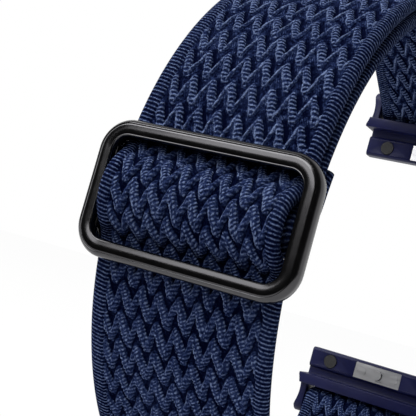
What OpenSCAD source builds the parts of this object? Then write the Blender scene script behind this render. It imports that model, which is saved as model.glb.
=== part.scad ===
// Woven watch strap: one elastic webbing that doubles back through a slide buckle,
// with a lug connector at each end. The loop lies in the Y-Z plane, and X runs across the strap.
// The origin is the middle of the watch case, between the two lugs. -Y faces the buckle.

/* [Webbing] */
// Width of the webbing
web_w = 22; // [20:0.5:24]
// Thickness of the webbing
web_t = 1.9; // [1.7:0.05:2.1]
// Space between two layers that lie on each other
layer_gap = 0.15; // [0.1:0.05:0.25]
// Length of the sewn tail behind the buckle's bar, as an angle round the loop's front
tail_deg = 13; // [12:0.5:16]
// Length of the sewn tail at the lower connector
lower_tail = 11; // [8:0.5:13]

/* [Loop] */
// Radius of the loop's front, on the webbing's outer face
front_r = 36.5; // [35:0.5:38]
// Distance from the middle of the case to the front of the loop
reach = 75; // [73:0.5:78]
// How far the buckle sits below the middle of the case
buckle_drop = 4.5; // [3:0.5:6]
// Outer radius of the loop's upper back corner
upper_r = 19; // [17:0.5:20]
// Distance from the case's middle forward to the upper corner's centre
upper_y = 24; // [22:0.5:27]
// Height of the upper corner's centre
upper_z = 20; // [18:0.5:22]
// Outer radius of the loop's lower back corner
lower_r = 19; // [17:0.5:20]
// Distance from the case's middle forward to the lower corner's centre
lower_y = 17.5; // [17:0.5:20]
// Depth of the lower corner's centre below the case's middle
lower_z = 26; // [24:0.5:28]
// Angle on the front, either side of level, where the stretching runs end
slip_deg = 35; // [33:1:38]

/* [Buckle] */
// Clearance between the webbing's edge and the buckle's side bars
buckle_side_gap = 0.2; // [0.15:0.05:0.5]
// Width of the buckle's bars, seen from the front
bar_w = 1.9; // [1.6:0.1:2.1]
// Thickness of the buckle's bars
bar_t = 1.9; // [1.6:0.1:2.1]
// Height of the buckle, across its two long bars
buckle_h = 15; // [14:0.5:16]
// Outer corner radius of the buckle
buckle_corner = 3.6; // [3:0.2:4.2]
// Gap between the long bars and the webbing behind them
bar_gap = 0.15; // [0.1:0.05:0.3]
// Radius of the centre bar
centre_bar_r = 0.8; // [0.7:0.05:0.9]
// Depth of the centre bar's middle below the webbing's outer face
centre_bar_depth = 2.15; // [2.1:0.05:2.3]
// Thickness of the cheeks that carry the centre bar
cheek_t = 0.65; // [0.55:0.05:0.8]
// Clearance between the webbing's edge and the cheeks
cheek_gap = 0.1; // [0.05:0.05:0.15]
// Height of the cheeks where they meet the frame
cheek_h = 13; // [11:0.2:13.2]

/* [Connectors] */
// Height of the watch case, from slot to slot
case_h = 44; // [42:1:46]
// Radius of the strap pins
pin_r = 0.75; // [0.65:0.05:0.85]
// Running clearance of a pin in the webbing's turn
pin_gap = 0.08; // [0.05:0.01:0.1]
// Clearance between the webbing and the connector, at its edges and its turn
slot_gap = 0.3; // [0.2:0.05:0.5]
// Thickness of the connector's bridge, between the slot and the case
bridge_t = 1.7; // [1.4:0.1:2]
// Thickness of the connector's arms, beside the webbing
arm_t = 1.6; // [1.4:0.1:2]
// Depth of the hollow in each side of the connector
waist = 0.5; // [0.3:0.05:0.7]
// Depth of the bridge, front to back
bridge_d = 5.6; // [5:0.1:6]
// Length of the lug that slides into the case
lug_l = 24.2; // [22:0.1:25]
// Thickness of the lug
lug_t = 2.8; // [2.6:0.1:3.2]
// Height of the lug
lug_h = 3.4; // [3.2:0.1:4]
// Height of the neck between the bridge and the lug
neck_h = 1.3; // [1:0.1:1.6]
// Thickness of the neck
neck_t = 1.5; // [1.2:0.1:1.7]

/* [Latch] */
// Radius of the latch button
button_r = 0.8; // [0.7:0.05:0.9]
// Travel of the latch button, which is how far it stands out of the lug
button_travel = 0.5; // [0.4:0.05:0.6]
// Length of the retainer plate
plate_l = 8; // [7.5:0.5:10]
// Height of the retainer plate
plate_h = 2.6; // [2.4:0.1:2.8]
// Thickness of the retainer plate
plate_t = 0.3; // [0.25:0.05:0.4]
// Distance of each retainer screw from the button
screw_x = 2.8; // [2.5:0.1:3.2]
// Radius of the screws' shanks
screw_r = 0.4; // [0.35:0.05:0.45]
// Radius of the rubber pads
pad_r = 1.1; // [0.9:0.1:1.2]
// Distance of each rubber pad from the button
pad_x = 8.5; // [7.5:0.5:10]
// How far the rubber pads stand out of the lug
pad_out = 0.15; // [0.1:0.05:0.25]

/* [Hidden] */
$fn = 64;
navy = [0.10, 0.15, 0.36];
deep_navy = [0.09, 0.10, 0.30];
gunmetal = [0.22, 0.22, 0.23];
steel = [0.70, 0.70, 0.72];
rubber = [0.06, 0.06, 0.07];

// Clearance of a fixed fit, such as a pin in its ear
fit_gap = 0.02;
// How far a cutting shape stands out of the face it cuts
over = 1;
// Where two lengths of one webbing meet, one reaches that far into the other,
// and the other is larger by the step all round
lap = 0.1;
seam_step = 0.01;
// Gap between two ends of webbing that meet on different bodies
end_gap = 0.1;
// Distance from one layer of webbing to the next
layer = web_t + layer_gap;

// A direction in the Y-Z plane. The heading is 0 straight up and 90 away from the buckle.
function dir(h) = [sin(h), cos(h)];
// The outward side of a run that goes that way over the top of the loop
function side(h) = [-cos(h), sin(h)];
// The same two for a run that goes under the bottom of the loop
function low_dir(h) = [sin(h), -cos(h)];
function low_side(h) = [-cos(h), -sin(h)];
function flip(p) = [p[0], -p[1]];
// Heading of the line that touches the circle about a at distance ra and the one about b at rb
function tangent(a, b, ra, rb) =
    let (d = b - a) atan2(d[0], d[1]) + asin((ra - rb) / norm(d));

// Centres of the loop's arcs, as [y, z]
front_c = [front_r - reach, -buckle_drop];
upper_c = [-upper_y, upper_z];
lower_c = [-lower_y, -lower_z];
// The webbing's turn round a pin, and the pin's distance from the case
turn_in = pin_r + pin_gap;
turn_r = turn_in + web_t;
pin_z = case_h / 2 + bridge_t + slot_gap + turn_r;
upper_pin_c = [0, pin_z];
lower_pin_c = [0, -pin_z];

// Headings of the straight stretches
over_h = tangent(front_c, upper_c, front_r, upper_r);
outer_h = tangent(upper_c, upper_pin_c, upper_r, turn_r);
inner_h = tangent(upper_c, upper_pin_c, upper_r - layer - web_t, -turn_r);
under_h = tangent(flip(front_c), flip(lower_c), front_r, lower_r);
lower_h = tangent(flip(lower_c), flip(lower_pin_c), lower_r, turn_r);

// The sewn loop round the centre bar
loop_in = centre_bar_r + 0.05;
loop_r = loop_in + web_t;

// The buckle's window: the hump's bends meet the loop's front smoothly
hump_rise = loop_r + layer_gap + web_t - centre_bar_depth;
hump_foot_r = 3.6;
hump_r = web_t + hump_foot_r;
// Angle at the middle of the loop's front between two bends' centres, at those distances
// from it and that far from each other
function corner_deg(c_out, c_in, reach_sum) =
    acos((c_out * c_out + c_in * c_in - reach_sum * reach_sum) / (2 * c_out * c_in));
hump_c = front_r + hump_rise - hump_r;
hump_deg = corner_deg(front_r + hump_foot_r, hump_c, hump_r + hump_foot_r);
hump_turn = atan2((front_r + hump_foot_r) * sin(hump_deg),
                  (front_r + hump_foot_r) * cos(hump_deg) - hump_c);
// Where the hump ends, under the middle of each long bar
bar_deg = asin((buckle_h / 2 - bar_w / 2) / front_r);
end_deg = end_gap / front_r * 180 / PI;

// The bends that lead from the sewn loop up into the inner layer and the tail
bar_c = front_r - centre_bar_depth;
inner_r = front_r - layer;
tail_r = inner_r - layer;
loop_foot_r = 3;
tail_foot_r = 15;
loop_deg = corner_deg(inner_r + loop_foot_r, bar_c, loop_r + loop_foot_r);
loop_turn = atan2((inner_r + loop_foot_r) * sin(loop_deg),
                  (inner_r + loop_foot_r) * cos(loop_deg) - bar_c);
tail_start = corner_deg(tail_r + tail_foot_r, bar_c, tail_foot_r - loop_in);
tail_c = front_c + (tail_r + tail_foot_r) * [-cos(tail_start), sin(tail_start)];

// Sizes of the buckle
buckle_in_w = web_w + 2 * buckle_side_gap;
buckle_w = buckle_in_w + 2 * bar_w;
bar_sag = front_r * (1 - cos(bar_deg));
buckle_y = bar_sag - reach - bar_gap - bar_t / 2;
centre_bar_y = -reach + centre_bar_depth;
cheek_x = web_w / 2 + cheek_gap;
cheek_r = centre_bar_r + 0.35;
cheek_d = 1.2;

// Stitches lie on the webbing, across it
stitch_r = 0.2;
stitch_l = 1.5;
stitch_pitch = 2.1;
stitch_lift = stitch_r + 0.01;
row_gap = 3;
bar_row_gap = 1.6;

// Sizes of the connectors
conn_w = web_w + 2 * slot_gap + 2 * arm_t;
arm_end_r = turn_in + 1.1;
bridge_z = -(turn_r + slot_gap + bridge_t);
waist_z = bridge_z + 3;
waist_r = 7;
neck_root = 0.5;
lug_top = bridge_z - neck_h;
lug_mid = lug_top - lug_h / 2;
lug_edge = 0.6;

// Sizes of the latch, with depths from the lug's wrist side
lug_face = -lug_t / 2;
bore_r = button_r + 0.25;
bore_d = lug_t - 0.55;
hole_gap = 0.05;
flange_t = 0.35;
screw_l = 1.6;
screw_head_t = 0.14;
pad_d = 0.8;
spring_wire = 0.12;
spring_turns = 3;

// Cross-section of the webbing, with rounded selvedges: thickness on x, width on y
module web_section(grow = 0) {
    square([web_t + 2 * grow, web_w - web_t], center = true);
    for (s = [-1, 1])
        translate([0, s * (web_w / 2 - web_t / 2)]) circle(d = web_t + 2 * grow);
}

// Webbing bent round a centre c = [y, z]. r is the radius of its outer face.
// Angles run from -Y upward, so 0 is the front of the loop and 90 its top.
// Each end can have a lap, and a bend that others reach into grows by the seam's step.
module bend(c, r, from, to, lap_from = 0, lap_to = 0, grow = 0) {
    mid = r - web_t / 2;
    a = from - lap_from / mid * 180 / PI;
    b = to + lap_to / mid * 180 / PI;
    translate([0, c[0], c[1]]) rotate([90, 0, 90]) rotate([0, 0, 180 - b])
        rotate_extrude(angle = b - a, $fn = 180) translate([mid, 0]) web_section(grow);
}

// Straight webbing that starts at p, on the middle of its thickness, and runs on a heading
module run(p, h, l) {
    translate([0, p[0], p[1]]) rotate([-h, 0, 0]) rotate([0, 0, -90])
        linear_extrude(l) web_section(seam_step);
}

// A cylinder along X, between two ends
module bar(y, z, r, x0, x1) {
    translate([x0, y, z]) rotate([0, 90, 0]) cylinder(r = r, h = x1 - x0);
}

// Webbing, from the buckle's bar up over the loop as the inner layer

module inner_run_front() {
    color(navy) bend(front_c, inner_r, loop_deg + end_deg, slip_deg);
}

module inner_run() {
    r = upper_r - layer;
    start = upper_c + side(over_h) * (r - web_t / 2);
    end = upper_c + side(inner_h) * (r - web_t / 2);
    color(navy) {
        bend(front_c, inner_r, slip_deg, over_h, 0, lap);
        run(front_c + side(over_h) * (inner_r - web_t / 2), over_h,
            (start - front_c) * dir(over_h));
        bend(upper_c, r, over_h, inner_h, lap, lap);
        run(end, inner_h, (upper_pin_c - end) * dir(inner_h));
    }
}

module upper_turn() {
    color(navy) bend(upper_pin_c, turn_r, outer_h, inner_h + 180);
}

// Webbing, back from the upper pin as the outer layer and down through the buckle

module outer_run() {
    mid = web_t / 2;
    start = upper_c + side(over_h) * (upper_r - mid);
    end = upper_c + side(outer_h) * (upper_r - mid);
    color(navy) {
        bend(front_c, front_r, slip_deg, over_h, 0, lap);
        run(front_c + side(over_h) * (front_r - mid), over_h, (start - front_c) * dir(over_h));
        bend(upper_c, upper_r, over_h, outer_h, lap, lap);
        run(end, outer_h, (upper_pin_c - end) * dir(outer_h));
    }
}

module outer_run_front() {
    color(navy) bend(front_c, front_r, bar_deg + end_deg, slip_deg);
}

// The webbing's rise over the sewn loop, between the two long bars
module window_hump() {
    color(navy) {
        bend([front_c[0] - hump_c, front_c[1]], hump_r, -hump_turn, hump_turn, 0, 0, seam_step);
        for (s = [0, 1]) mirror_at(s, front_c[1]) {
            foot = front_c + (front_r + hump_foot_r) * [-cos(hump_deg), sin(hump_deg)];
            bend(foot, hump_foot_r + web_t, 180 + hump_deg, 180 + hump_turn, lap, lap);
            bend(front_c, front_r, hump_deg, bar_deg, 0, 0, seam_step);
        }
    }
}

// Mirrors its child about a level plane if s is 1
module mirror_at(s, z) {
    if (s == 1) translate([0, 0, 2 * z]) mirror([0, 0, 1]) children();
    else children();
}

module lower_run_front() {
    color(navy) bend(front_c, front_r, -slip_deg, -bar_deg - end_deg);
}

// Webbing, the single layer under the loop

module lower_run() {
    mid = web_t / 2;
    start = lower_c + low_side(under_h) * (lower_r - mid);
    end = lower_c + low_side(lower_h) * (lower_r - mid);
    color(navy) {
        bend(front_c, front_r, -under_h, -slip_deg, lap, 0);
        run(front_c + low_side(under_h) * (front_r - mid), 180 - under_h,
            (start - front_c) * low_dir(under_h));
        bend(lower_c, lower_r, -lower_h, -under_h, lap, lap);
        run(end, 180 - lower_h, (lower_pin_c - end) * low_dir(lower_h));
    }
}

// The lower end, turned round its pin and sewn back on itself inside the loop
module lower_turn() {
    back = lower_pin_c - low_side(lower_h) * (turn_r - web_t / 2);
    color(navy) {
        bend(lower_pin_c, turn_r, -lower_h - 180, -lower_h, lap, 0);
        run(back - low_dir(lower_h) * lower_tail, 180 - lower_h, lower_tail);
    }
}

// A row of stitches across the webbing, with their middle at p = [y, z]
module stitch_row(p) {
    n = floor((web_w - 2 * stitch_pitch) / stitch_pitch);
    for (i = [0:n - 1])
        let (x = (i - (n - 1) / 2) * stitch_pitch)
            bar(p[0], p[1], stitch_r, x - stitch_l / 2, x + stitch_l / 2);
}

module lower_stitches() {
    face = lower_pin_c - low_side(lower_h) * (turn_r + stitch_lift);
    color(deep_navy) for (i = [0.5, 1.5])
        stitch_row(face - low_dir(lower_h) * (lower_tail - i * row_gap));
}

// The webbing's first end: over the centre bar, round under it and back up as a tail
module bar_loop() {
    bar_yz = [centre_bar_y, front_c[1]];
    foot = front_c + (inner_r + loop_foot_r) * [-cos(loop_deg), sin(loop_deg)];
    d = bar_yz - tail_c;
    join = atan2(d[1], -d[0]);
    color(navy) {
        bend(foot, loop_foot_r + web_t, 180 + loop_deg, 180 + loop_turn, 0, lap);
        bend(bar_yz, loop_r, join, loop_turn, 0, 0, seam_step);
        bend(tail_c, tail_foot_r + web_t, 180 + tail_start, 360 + join, lap, lap);
        bend(front_c, tail_r, tail_start, tail_deg, 0, 0, seam_step);
    }
}

module bar_stitches() {
    r = tail_r - web_t - stitch_lift;
    color(deep_navy) for (i = [0.5, 1.5])
        let (a = tail_deg - i * bar_row_gap / r * 180 / PI)
            stitch_row(front_c + r * [-cos(a), sin(a)]);
}

// Slide buckle: a rounded frame, with the centre bar set back between two cheeks

// A bar's section is round at the front and back edges
module frame_section() {
    r = bar_w / 2;
    flat = max(bar_t - 2 * r, 0);
    translate([0, -flat / 2]) circle(r = r);
    translate([0, flat / 2]) circle(r = r);
    if (flat > 0) square([2 * r, flat], center = true);
}

module buckle_frame() {
    mid = buckle_corner - bar_w / 2;
    half_w = buckle_w / 2 - buckle_corner;
    half_h = buckle_h / 2 - buckle_corner;
    color(gunmetal) translate([0, 0, front_c[1]]) {
        translate([0, buckle_y, 0]) rotate([90, 0, 0]) {
            for (q = [0:3])
                translate([(q == 0 || q == 3 ? 1 : -1) * half_w, (q < 2 ? 1 : -1) * half_h, 0])
                    rotate([0, 0, q * 90]) rotate_extrude(angle = 90)
                        translate([mid, 0]) frame_section();
            for (s = [-1, 1]) {
                translate([-half_w, s * (half_h + mid), 0]) rotate([90, 0, 90])
                    linear_extrude(2 * half_w) frame_section();
                translate([s * (half_w + mid), half_h, 0]) rotate([90, 0, 0])
                    linear_extrude(2 * half_h) frame_section();
            }
        }
        for (s = [-1, 1]) difference() {
            x0 = s > 0 ? cheek_x : -cheek_x - cheek_t;
            hull() {
                bar(centre_bar_y, 0, cheek_r, x0, x0 + cheek_t);
                translate([x0, buckle_y, -cheek_h / 2]) cube([cheek_t, cheek_d, cheek_h]);
            }
            bar(centre_bar_y, 0, centre_bar_r + fit_gap, x0 - over, x0 + cheek_t + over);
        }
    }
}

module buckle_centre_bar() {
    half = cheek_x + cheek_t;
    color(gunmetal) bar(centre_bar_y, front_c[1], centre_bar_r, -half, half);
}

// Connectors, each drawn about its pin with the case below. The lower one is turned over.

module at_end(s) {
    if (s > 0) translate([0, 0, pin_z]) children();
    else mirror([0, 0, 1]) translate([0, 0, pin_z]) children();
}

module lug_block(l) {
    e = lug_edge;
    translate([-l / 2, -lug_t / 2 + e, lug_top - lug_h]) cube([l, lug_t - 2 * e, lug_h]);
    translate([-l / 2, -lug_t / 2, lug_top - lug_h + e]) cube([l, lug_t, lug_h - 2 * e]);
    for (y = [-1, 1], z = [0, 1])
        bar(y * (lug_t / 2 - e), lug_top - (z == 0 ? e : lug_h - e), e, -l / 2, l / 2);
}

// Everything that is cut into the lug from its wrist side
module latch_pockets() {
    translate([-plate_l / 2 - fit_gap, lug_face - over, lug_mid - plate_h / 2 - fit_gap])
        cube([plate_l + 2 * fit_gap, over + plate_t, plate_h + 2 * fit_gap]);
    latch_cylinder(0, 0, bore_r, bore_d);
    for (q = [-1, 1]) {
        latch_cylinder(q * screw_x, 0, screw_r + fit_gap, screw_l + fit_gap);
        latch_cylinder(q * pad_x, -over, pad_r + fit_gap, over + pad_d);
    }
}

// A cylinder into the lug at x, which starts at that depth below its wrist side
module latch_cylinder(x, depth, r, h) {
    translate([x, lug_face + depth, lug_mid]) rotate([-90, 0, 0]) cylinder(r = r, h = h);
}

module connector(s) {
    color(deep_navy) at_end(s) difference() {
        union() {
            translate([-conn_w / 2, -bridge_d / 2, bridge_z]) cube([conn_w, bridge_d, bridge_t]);
            for (x = [-conn_w / 2, conn_w / 2 - arm_t]) {
                translate([x, -arm_end_r, bridge_z]) cube([arm_t, 2 * arm_end_r, -bridge_z]);
                bar(0, 0, arm_end_r, x, x + arm_t);
            }
            translate([-lug_l / 2, -neck_t / 2, lug_top - neck_root])
                cube([lug_l, neck_t, neck_h + neck_root]);
            lug_block(lug_l);
        }
        for (q = [-1, 1])
            translate([q * (conn_w / 2 - waist + waist_r), 0, waist_z]) rotate([90, 0, 0])
                cylinder(r = waist_r, h = 2 * bridge_d, center = true);
        bar(0, 0, pin_r + fit_gap, -conn_w, conn_w);
        latch_pockets();
    }
}

module pin(s) {
    half = conn_w / 2 - waist;
    color(steel) at_end(s) bar(0, 0, pin_r, -half, half);
}

module button(s) {
    color(steel) at_end(s) {
        latch_cylinder(0, -button_travel, button_r, button_travel + plate_t + flange_t);
        latch_cylinder(0, plate_t + fit_gap, bore_r - hole_gap, flange_t);
    }
}

// A helical spring between the button's flange and the bottom of its bore
module spring(s) {
    coil_r = bore_r - spring_wire - hole_gap;
    start = lug_face + plate_t + flange_t + spring_wire + 2 * fit_gap;
    end = lug_face + bore_d - spring_wire - fit_gap;
    steps = 12;
    rings = spring_turns * steps;
    sides = 6;
    pts = [for (i = [0:rings], j = [0:sides - 1])
        let (a = i * 360 / steps, b = j * 360 / sides, r = coil_r + spring_wire * cos(b))
            [r * cos(a), start + (end - start) * i / rings + spring_wire * sin(b), r * sin(a)]];
    caps = [[for (j = [0:sides - 1]) j], [for (j = [sides - 1:-1:0]) rings * sides + j]];
    walls = [for (i = [0:rings - 1], j = [0:sides - 1])
        let (k = (j + 1) % sides, p = i * sides) each
            [[p + j, p + sides + j, p + k], [p + k, p + sides + j, p + sides + k]]];
    color(steel) at_end(s) translate([0, 0, lug_mid])
        polyhedron(points = pts, faces = concat(caps, walls));
}

module retainer(s) {
    color(steel) at_end(s) difference() {
        translate([-plate_l / 2, lug_face, lug_mid - plate_h / 2])
            cube([plate_l, plate_t - fit_gap, plate_h]);
        latch_cylinder(0, -over, button_r + hole_gap, 2 * over);
        for (q = [-1, 1]) latch_cylinder(q * screw_x, -over, screw_r + fit_gap, 2 * over);
    }
}

// Two screws whose flat heads lie on the plate, below the height of the pads
module screws(s) {
    color(steel) at_end(s) for (q = [-1, 1]) {
        latch_cylinder(q * screw_x, -screw_head_t, 2 * screw_r, screw_head_t);
        latch_cylinder(q * screw_x, -screw_head_t / 2, screw_r, screw_l + screw_head_t / 2);
    }
}

module pads(s) {
    color(rubber) at_end(s) for (q = [-1, 1])
        latch_cylinder(q * pad_x, -pad_out, pad_r, pad_d + pad_out - fit_gap);
}

inner_run();
inner_run_front();
upper_turn();
outer_run();
outer_run_front();
window_hump();
lower_run_front();
lower_run();
lower_turn();
lower_stitches();
bar_loop();
bar_stitches();
buckle_frame();
buckle_centre_bar();
connector(1);  // upper_connector
pin(1);  // upper_pin
button(1);  // upper_button
spring(1);  // upper_spring
retainer(1);  // upper_retainer
screws(1);  // upper_screws
pads(1);  // upper_pads
connector(-1);  // lower_connector
pin(-1);  // lower_pin
button(-1);  // lower_button
spring(-1);  // lower_spring
retainer(-1);  // lower_retainer
screws(-1);  // lower_screws
pads(-1);  // lower_pads
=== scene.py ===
import math
import bpy
import bmesh
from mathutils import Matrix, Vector


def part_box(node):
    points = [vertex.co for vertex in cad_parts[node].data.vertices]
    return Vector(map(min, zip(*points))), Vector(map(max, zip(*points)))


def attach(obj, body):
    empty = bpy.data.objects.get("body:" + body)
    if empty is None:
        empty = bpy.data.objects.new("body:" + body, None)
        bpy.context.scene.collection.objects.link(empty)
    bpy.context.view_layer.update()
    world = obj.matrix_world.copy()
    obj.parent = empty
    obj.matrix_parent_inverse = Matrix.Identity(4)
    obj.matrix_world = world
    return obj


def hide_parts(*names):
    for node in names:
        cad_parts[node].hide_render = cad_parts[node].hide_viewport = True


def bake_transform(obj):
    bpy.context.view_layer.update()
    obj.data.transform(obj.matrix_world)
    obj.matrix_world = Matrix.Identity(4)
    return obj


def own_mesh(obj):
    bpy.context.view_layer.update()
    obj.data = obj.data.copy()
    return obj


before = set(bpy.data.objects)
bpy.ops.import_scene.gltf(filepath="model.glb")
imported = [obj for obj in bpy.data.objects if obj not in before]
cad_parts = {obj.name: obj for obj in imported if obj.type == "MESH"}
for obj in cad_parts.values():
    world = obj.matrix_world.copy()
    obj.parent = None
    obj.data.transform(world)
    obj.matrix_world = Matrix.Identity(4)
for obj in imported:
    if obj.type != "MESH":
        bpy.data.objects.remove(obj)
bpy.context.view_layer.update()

mm = 0.001
scene = bpy.context.scene


# camera, from the photograph's framing

camera = {"place": (48.48, -160.55, -11.13), "turn": (94.664, -15.591, 27.446), "lens": 84.22,
          "sensor": 36, "shift": (-0.0143, -0.0160), "near": 0.005, "far": 20}

cameraData = bpy.data.cameras.new("camera")
cameraData.lens = camera["lens"]
cameraData.sensor_width = camera["sensor"]
cameraData.shift_x, cameraData.shift_y = camera["shift"]
cameraData.clip_start, cameraData.clip_end = camera["near"], camera["far"]
cameraObject = bpy.data.objects.new("camera", cameraData)
cameraObject.location = Vector(camera["place"]) * mm
cameraObject.rotation_euler = [math.radians(a) for a in camera["turn"]]
scene.collection.objects.link(cameraObject)
scene.camera = cameraObject
print("camera placed")


# nodes, and sums written as plain arithmetic, in geometry and material trees alike

def addNode(tree, kind, inputs=(), **settings):   # inputs are numbers, sockets or terms
    node = tree.nodes.new(kind)
    for name, value in settings.items():
        setattr(node, name, value)
    for name, value in dict(inputs).items():
        if isinstance(value, Term):
            tree.links.new(value.socket, node.inputs[name])
        elif isinstance(value, bpy.types.NodeSocket):
            tree.links.new(value, node.inputs[name])
        else:
            node.inputs[name].default_value = value
    return node


class Term:
    def __init__(self, tree, socket):
        self.tree, self.socket = tree, socket

    def __add__(self, other): return calc("ADD", self, other)
    def __radd__(self, other): return calc("ADD", other, self)
    def __sub__(self, other): return calc("SUBTRACT", self, other)
    def __rsub__(self, other): return calc("SUBTRACT", other, self)
    def __mul__(self, other): return calc("MULTIPLY", self, other)
    def __rmul__(self, other): return calc("MULTIPLY", other, self)
    def __truediv__(self, other): return calc("DIVIDE", self, other)
    def __neg__(self): return calc("MULTIPLY", self, -1.0)


def calc(operation, *terms):
    tree = next(t.tree for t in terms if isinstance(t, Term))
    node = addNode(tree, "ShaderNodeMath", enumerate(terms), operation=operation)
    return Term(tree, node.outputs[0])


def sine(a): return calc("SINE", a)
def cosine(a): return calc("COSINE", a)
def root(a): return calc("SQRT", a)
def size(a): return calc("ABSOLUTE", a)
def sign(a): return calc("SIGN", a)
def least(a, b): return calc("MINIMUM", a, b)
def most(a, b): return calc("MAXIMUM", a, b)
def power(a, n): return calc("POWER", a, n)
def wrapped(a, span): return calc("WRAP", a, span / 2, -span / 2)   # nearest repeat, either side of 0
def limited(a, low, high): return least(most(a, low), high)


def step(a, start, end):   # smooth 0 to 1
    t = limited((a - start) / (end - start), 0.0, 1.0)
    return t * t * (3.0 - 2.0 * t)


def ripple(place, pitch, wave=cosine):   # 0 to 1 and back, once in each pitch
    return 0.5 + 0.5 * wave(place * (2 * math.pi / pitch))


def partsOf(tree, vector):
    split = addNode(tree, "ShaderNodeSeparateXYZ", {0: vector})
    return [Term(tree, split.outputs[k]) for k in range(3)]


# the strap's line, on the middle of the webbing's thickness, in mm as (y, z)

strap = {"width": 22.0, "thick": 1.9, "gap": 0.15, "frontRadius": 36.5, "frontCentre": (-38.5, -4.5),
         "upperRadius": 19.0, "upperCentre": (-24.0, 20.0), "lowerRadius": 19.0, "lowerCentre": (-17.5, -26.0),
         "pinHeight": 26.73, "pinGap": 0.83, "barAngle": 10.3378, "endGap": 0.1,
         "humpFoot": 3.6, "barDepth": 2.15, "barSleeve": 0.85, "loopFoot": 3.0, "tailFoot": 15.0,
         "tailAngle": 13.0, "lowerTail": 11.0, "bendStep": 0.12, "runStep": 0.3, "closest": 0.02}


def tangentHeading(a, b, ra, rb):
    dy, dz = b[0] - a[0], b[1] - a[1]
    return math.degrees(math.atan2(dy, dz) + math.asin((ra - rb) / math.hypot(dy, dz)))


def onCircle(centre, radius, angle):   # 0 is the loop's front, 90 its top
    a = math.radians(angle)
    return (centre[0] - radius * math.cos(a), centre[1] + radius * math.sin(a))


def bend(centre, radius, start, end):
    n = max(4, int(abs(math.radians(end - start)) * radius / strap["bendStep"]))
    return [onCircle(centre, radius, start + (end - start) * k / n) for k in range(n + 1)]


def run(a, b):
    n = max(2, int(math.dist(a, b) / strap["runStep"]))
    return [(a[0] + (b[0] - a[0]) * k / n, a[1] + (b[1] - a[1]) * k / n) for k in range(n + 1)]


def footAngle(outer, inner, reach):   # where a small bend meets the arc that it grows out of
    return math.degrees(math.acos((outer ** 2 + inner ** 2 - reach ** 2) / (2 * outer * inner)))


def footTurn(outer, inner, angle):   # the same place, seen from the bend's own centre
    a = math.radians(angle)
    return math.degrees(math.atan2(outer * math.sin(a), outer * math.cos(a) - inner))


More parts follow.
